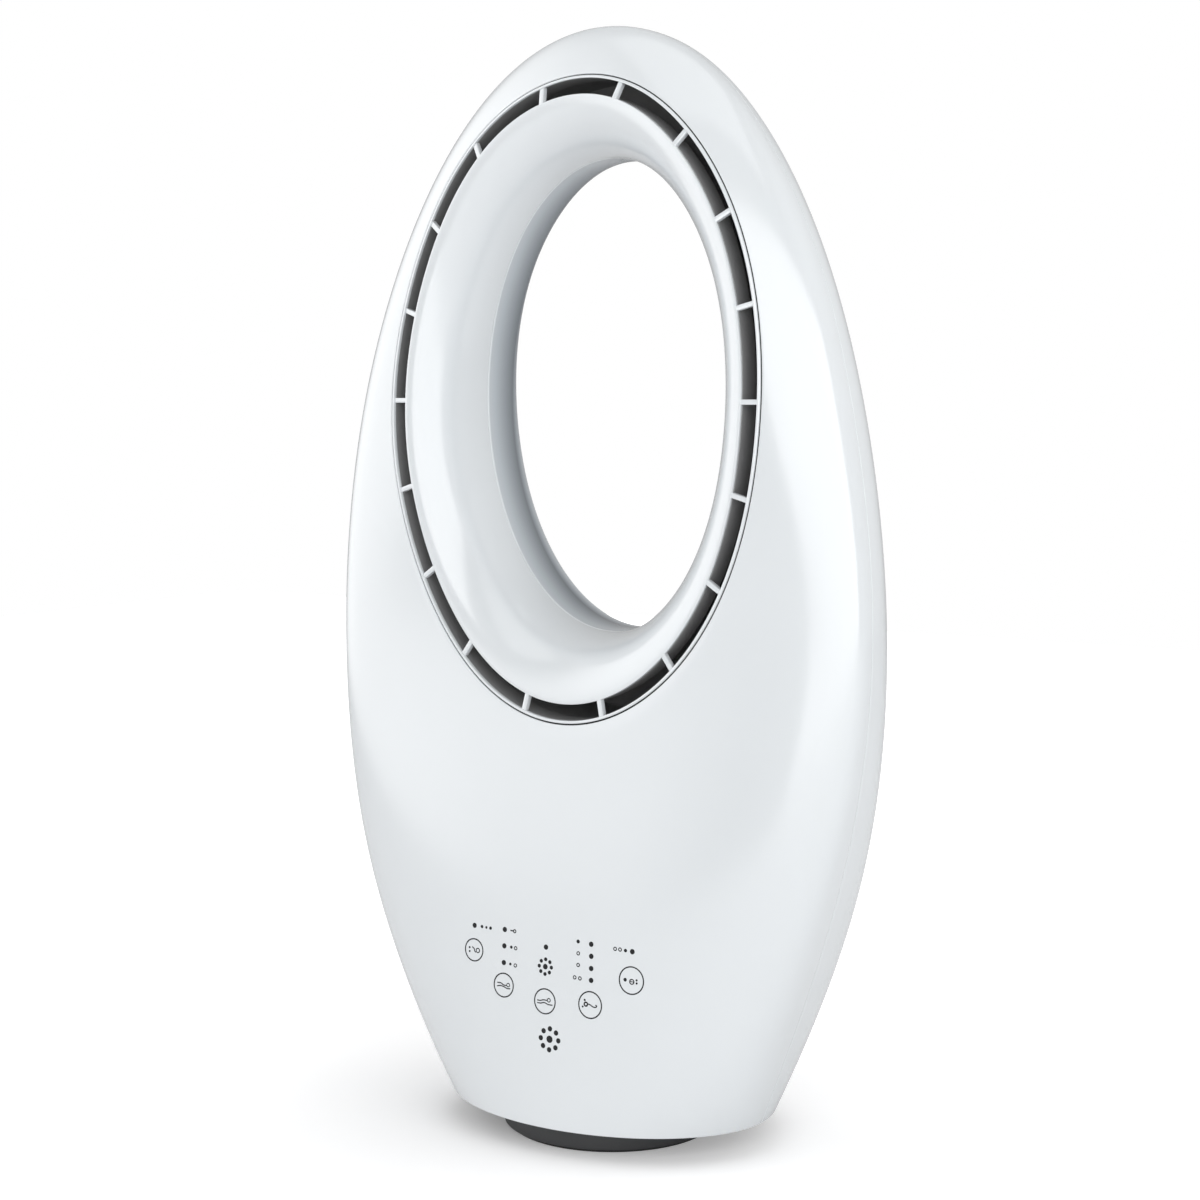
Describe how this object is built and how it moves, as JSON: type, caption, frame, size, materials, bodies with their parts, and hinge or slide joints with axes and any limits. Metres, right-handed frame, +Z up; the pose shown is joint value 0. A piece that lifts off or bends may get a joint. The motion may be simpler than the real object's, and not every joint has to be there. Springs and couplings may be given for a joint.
{
  "type": "bladeless fan",
  "caption": "Free-standing bladeless fan: a flat egg-shaped body with an oval through-hole, a ribbed air slot round it, touch controls and a swinging base.",
  "frame": {"origin": "centre of the round foot on the floor, on the axis that the body swings about", "axes": "+Z up along the swing axis, front towards -Y, +X to the right of someone facing the fan from the front"},
  "size_m": [0.332, 0.1505, 0.5999],
  "materials": {
    "gloss_white": "glossy white moulded plastic",
    "charcoal_plastic": "satin charcoal plastic",
    "black_plastic": "matte black plastic",
    "grey_plastic": "matte grey plastic",
    "ballast_iron": "plain cast weight",
    "rubber": "soft black rubber",
    "circuit_board": "green circuit board",
    "contact_metal": "plated contact metal",
    "steel": "plain steel"
  },
  "bodies": {
    "base": {"base_cover": "charcoal_plastic", "foot_pad": "rubber", "ballast_disc": "ballast_iron", "swing_gear": "grey_plastic", "glide_ring": "grey_plastic", "gear_screw_1": "steel", "gear_screw_2": "steel", "gear_screw_3": "steel"},
    "head": {"air_channel": "charcoal_plastic", "blower_housing": "black_plastic", "blower_screw_1": "steel", "blower_screw_2": "steel", "blower_screw_3": "steel", "body_floor": "black_plastic", "control_board": "circuit_board", "damper_1": "rubber", "damper_2": "rubber", "damper_3": "rubber", "diffuser_duct": "black_plastic", "front_shell": "gloss_white", "intake_grille": "gloss_white", "lower_bearing": "steel", "motor_can": "steel", "motor_cradle": "grey_plastic", "outlet_ring": "gloss_white", "power_inlet": "black_plastic", "rear_shell": "gloss_white", "shell_screw_1": "steel", "shell_screw_2": "steel", "shell_screw_3": "steel", "shell_screw_4": "steel", "swing_motor": "steel", "swing_screw_1": "steel", "swing_screw_2": "steel", "throat_liner": "gloss_white", "touch_board": "circuit_board", "touch_spring_1": "contact_metal", "touch_spring_2": "contact_metal", "touch_spring_3": "contact_metal", "touch_spring_4": "contact_metal", "touch_spring_5": "contact_metal", "upper_bearing": "steel"},
    "impeller": {"impeller": "grey_plastic", "motor_shaft": "steel"},
    "pinion": {"swing_pinion": "grey_plastic", "swing_shaft": "steel"}
  },
  "joints": [
    {"name": "oscillation", "type": "hinge", "parent": "base", "child": "head", "pos_m": [0, 0, 0], "axis": [0, 0, 1], "range_deg": [-40, 40]},
    {"name": "impeller_spin", "type": "hinge", "parent": "head", "child": "impeller", "pos_m": [0, -0.003, 0.1], "axis": [0, 0, 1], "continuous": true},
    {"name": "pinion_spin", "type": "hinge", "parent": "head", "child": "pinion", "pos_m": [-0.035, 0, 0.02], "axis": [0, 0, 1], "range_deg": [-94, 94]}
  ],
  "couplings": [
    {"joint": "pinion_spin", "follows": "oscillation", "ratio": 2.3333}
  ]
}
